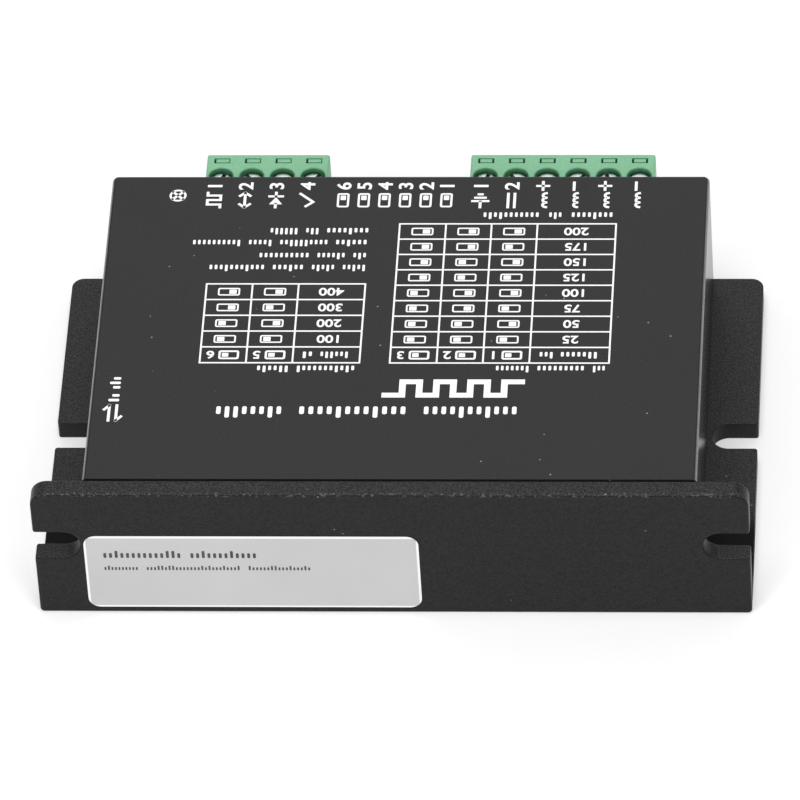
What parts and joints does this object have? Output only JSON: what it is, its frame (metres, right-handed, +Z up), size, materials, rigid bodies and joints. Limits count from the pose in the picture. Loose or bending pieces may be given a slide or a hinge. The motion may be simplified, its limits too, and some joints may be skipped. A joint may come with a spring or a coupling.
{
  "type": "stepper motor driver module",
  "caption": "Black stepper motor driver: L-shaped heatsink base with slots, folded metal cover, pluggable green screw terminals, slide switches and a serial jack.",
  "frame": {"origin": "centre of the base plate's underside, in length and in depth, leaving out the plugs behind it", "axes": "+X along the length, from the serial jack's end; +Y from the front wall towards the connectors; +Z up from the base plate"},
  "size_m": [0.086, 0.0643, 0.02],
  "materials": {
    "anodised_base": "fine matt black anodising",
    "cover_paint": "satin charcoal powder paint with white printing",
    "label_film": "silver-grey polyester sticker",
    "terminal_green": "light green moulded polyamide",
    "zinc_steel": "bright zinc plate",
    "tinned_contact": "tin plate",
    "gold_contact": "thin gold plate",
    "board_green": "solder mask over glass laminate",
    "black_plastic": "moulded black plastic",
    "slider_white": "moulded white plastic",
    "lens_green": "tinted clear resin",
    "black_steel": "black oxide",
    "film": "amber polyimide film",
    "gap_pad": "soft silicone gap filler",
    "brass_spacer": "turned brass",
    "capacitor_sleeve": "shrink sleeve on an aluminium can",
    "chip_resin": "moulded epoxy",
    "ceramic": "fired ceramic with tinned ends",
    "crystal_can": "drawn steel can",
    "ferrite": "sintered ferrite"
  },
  "bodies": {
    "driver": {"heatsink_base": "anodised_base", "cover": "cover_paint", "label": "label_film", "insulation_sheet": "film", "thermal_pad": "gap_pad", "circuit_board": "board_green", "board_spacers": "brass_spacer", "board_screws": "zinc_steel", "cover_screws": "black_steel", "bulk_capacitors": "capacitor_sleeve", "power_mosfets": "chip_resin", "gate_drivers": "chip_resin", "controller_chip": "chip_resin", "optocouplers": "chip_resin", "crystal": "crystal_can", "voltage_regulator": "chip_resin", "sense_resistors": "ceramic", "power_inductor": "ferrite", "small_passives": "ceramic", "signal_header": "terminal_green", "signal_header_pins": "tinned_contact", "power_header": "terminal_green", "power_header_pins": "tinned_contact", "switch_body": "black_plastic", "switch_pins": "tinned_contact", "status_led": "lens_green", "led_leads": "tinned_contact", "serial_jack": "black_plastic", "serial_contacts": "gold_contact"},
    "signal_plug": {"signal_plug_housing": "terminal_green", "signal_contacts": "tinned_contact"},
    "power_plug": {"power_plug_housing": "terminal_green", "power_contacts": "tinned_contact"},
    "signal_screw_1": {"signal_screw_1": "zinc_steel"},
    "signal_clamp_1": {"signal_clamp_1": "zinc_steel"},
    "signal_screw_2": {"signal_screw_2": "zinc_steel"},
    "signal_clamp_2": {"signal_clamp_2": "zinc_steel"},
    "signal_screw_3": {"signal_screw_3": "zinc_steel"},
    "signal_clamp_3": {"signal_clamp_3": "zinc_steel"},
    "signal_screw_4": {"signal_screw_4": "zinc_steel"},
    "signal_clamp_4": {"signal_clamp_4": "zinc_steel"},
    "power_screw_1": {"power_screw_1": "zinc_steel"},
    "power_clamp_1": {"power_clamp_1": "zinc_steel"},
    "power_screw_2": {"power_screw_2": "zinc_steel"},
    "power_clamp_2": {"power_clamp_2": "zinc_steel"},
    "power_screw_3": {"power_screw_3": "zinc_steel"},
    "power_clamp_3": {"power_clamp_3": "zinc_steel"},
    "power_screw_4": {"power_screw_4": "zinc_steel"},
    "power_clamp_4": {"power_clamp_4": "zinc_steel"},
    "power_screw_5": {"power_screw_5": "zinc_steel"},
    "power_clamp_5": {"power_clamp_5": "zinc_steel"},
    "power_screw_6": {"power_screw_6": "zinc_steel"},
    "power_clamp_6": {"power_clamp_6": "zinc_steel"},
    "switch_1": {"switch_slider_1": "slider_white"},
    "switch_2": {"switch_slider_2": "slider_white"},
    "switch_3": {"switch_slider_3": "slider_white"},
    "switch_4": {"switch_slider_4": "slider_white"},
    "switch_5": {"switch_slider_5": "slider_white"},
    "switch_6": {"switch_slider_6": "slider_white"}
  },
  "joints": [
    {"name": "signal_plug_pull", "type": "slide", "parent": "driver", "child": "signal_plug", "axis": [0, 1, 0], "range_m": [0, 0.012]},
    {"name": "power_plug_pull", "type": "slide", "parent": "driver", "child": "power_plug", "axis": [0, 1, 0], "range_m": [0, 0.012]},
    {"name": "signal_clamp_1_lift", "type": "slide", "parent": "signal_plug", "child": "signal_clamp_1", "axis": [0, 0, 1], "range_m": [0, 0.002]},
    {"name": "signal_screw_1_turn", "type": "hinge", "parent": "signal_plug", "child": "signal_screw_1", "pos_m": [-0.02402, 0.03245, 0.0125], "axis": [0, 0, -1], "range_deg": [0, 1800]},
    {"name": "signal_clamp_2_lift", "type": "slide", "parent": "signal_plug", "child": "signal_clamp_2", "axis": [0, 0, 1], "range_m": [0, 0.002]},
    {"name": "signal_screw_2_turn", "type": "hinge", "parent": "signal_plug", "child": "signal_screw_2", "pos_m": [-0.02021, 0.03245, 0.0125], "axis": [0, 0, -1], "range_deg": [0, 1800]},
    {"name": "signal_clamp_3_lift", "type": "slide", "parent": "signal_plug", "child": "signal_clamp_3", "axis": [0, 0, 1], "range_m": [0, 0.002]},
    {"name": "signal_screw_3_turn", "type": "hinge", "parent": "signal_plug", "child": "signal_screw_3", "pos_m": [-0.01639, 0.03245, 0.0125], "axis": [0, 0, -1], "range_deg": [0, 1800]},
    {"name": "signal_clamp_4_lift", "type": "slide", "parent": "signal_plug", "child": "signal_clamp_4", "axis": [0, 0, 1], "range_m": [0, 0.002]},
    {"name": "signal_screw_4_turn", "type": "hinge", "parent": "signal_plug", "child": "signal_screw_4", "pos_m": [-0.01259, 0.03245, 0.0125], "axis": [0, 0, -1], "range_deg": [0, 1800]},
    {"name": "power_clamp_1_lift", "type": "slide", "parent": "power_plug", "child": "power_clamp_1", "axis": [0, 0, 1], "range_m": [0, 0.002]},
    {"name": "power_screw_1_turn", "type": "hinge", "parent": "power_plug", "child": "power_screw_1", "pos_m": [0.00877, 0.03245, 0.0125], "axis": [0, 0, -1], "range_deg": [0, 1800]},
    {"name": "power_clamp_2_lift", "type": "slide", "parent": "power_plug", "child": "power_clamp_2", "axis": [0, 0, 1], "range_m": [0, 0.002]},
    {"name": "power_screw_2_turn", "type": "hinge", "parent": "power_plug", "child": "power_screw_2", "pos_m": [0.01259, 0.03245, 0.0125], "axis": [0, 0, -1], "range_deg": [0, 1800]},
    {"name": "power_clamp_3_lift", "type": "slide", "parent": "power_plug", "child": "power_clamp_3", "axis": [0, 0, 1], "range_m": [0, 0.002]},
    {"name": "power_screw_3_turn", "type": "hinge", "parent": "power_plug", "child": "power_screw_3", "pos_m": [0.01639, 0.03245, 0.0125], "axis": [0, 0, -1], "range_deg": [0, 1800]},
    {"name": "power_clamp_4_lift", "type": "slide", "parent": "power_plug", "child": "power_clamp_4", "axis": [0, 0, 1], "range_m": [0, 0.002]},
    {"name": "power_screw_4_turn", "type": "hinge", "parent": "power_plug", "child": "power_screw_4", "pos_m": [0.02021, 0.03245, 0.0125], "axis": [0, 0, -1], "range_deg": [0, 1800]},
    {"name": "power_clamp_5_lift", "type": "slide", "parent": "power_plug", "child": "power_clamp_5", "axis": [0, 0, 1], "range_m": [0, 0.002]},
    {"name": "power_screw_5_turn", "type": "hinge", "parent": "power_plug", "child": "power_screw_5", "pos_m": [0.02402, 0.03245, 0.0125], "axis": [0, 0, -1], "range_deg": [0, 1800]},
    {"name": "power_clamp_6_lift", "type": "slide", "parent": "power_plug", "child": "power_clamp_6", "axis": [0, 0, 1], "range_m": [0, 0.002]},
    {"name": "power_screw_6_turn", "type": "hinge", "parent": "power_plug", "child": "power_screw_6", "pos_m": [0.02782, 0.03245, 0.0125], "axis": [0, 0, -1], "range_deg": [0, 1800]},
    {"name": "switch_1_throw", "type": "slide", "parent": "driver", "child": "switch_1", "axis": [0, 0, 1], "range_m": [0, 0.0016]},
    {"name": "switch_2_throw", "type": "slide", "parent": "driver", "child": "switch_2", "axis": [0, 0, 1], "range_m": [0, 0.0016]},
    {"name": "switch_3_throw", "type": "slide", "parent": "driver", "child": "switch_3", "axis": [0, 0, 1], "range_m": [0, 0.0016]},
    {"name": "switch_4_throw", "type": "slide", "parent": "driver", "child": "switch_4", "axis": [0, 0, 1], "range_m": [0, 0.0016]},
    {"name": "switch_5_throw", "type": "slide", "parent": "driver", "child": "switch_5", "axis": [0, 0, 1], "range_m": [0, 0.0016]},
    {"name": "switch_6_throw", "type": "slide", "parent": "driver", "child": "switch_6", "axis": [0, 0, 1], "range_m": [0, 0.0016]}
  ],
  "couplings": [
    {"joint": "signal_screw_1_turn", "follows": "signal_clamp_1_lift", "rad_per_m": 15708},
    {"joint": "signal_screw_2_turn", "follows": "signal_clamp_2_lift", "rad_per_m": 15708},
    {"joint": "signal_screw_3_turn", "follows": "signal_clamp_3_lift", "rad_per_m": 15708},
    {"joint": "signal_screw_4_turn", "follows": "signal_clamp_4_lift", "rad_per_m": 15708},
    {"joint": "power_screw_1_turn", "follows": "power_clamp_1_lift", "rad_per_m": 15708},
    {"joint": "power_screw_2_turn", "follows": "power_clamp_2_lift", "rad_per_m": 15708},
    {"joint": "power_screw_3_turn", "follows": "power_clamp_3_lift", "rad_per_m": 15708},
    {"joint": "power_screw_4_turn", "follows": "power_clamp_4_lift", "rad_per_m": 15708},
    {"joint": "power_screw_5_turn", "follows": "power_clamp_5_lift", "rad_per_m": 15708},
    {"joint": "power_screw_6_turn", "follows": "power_clamp_6_lift", "rad_per_m": 15708}
  ]
}
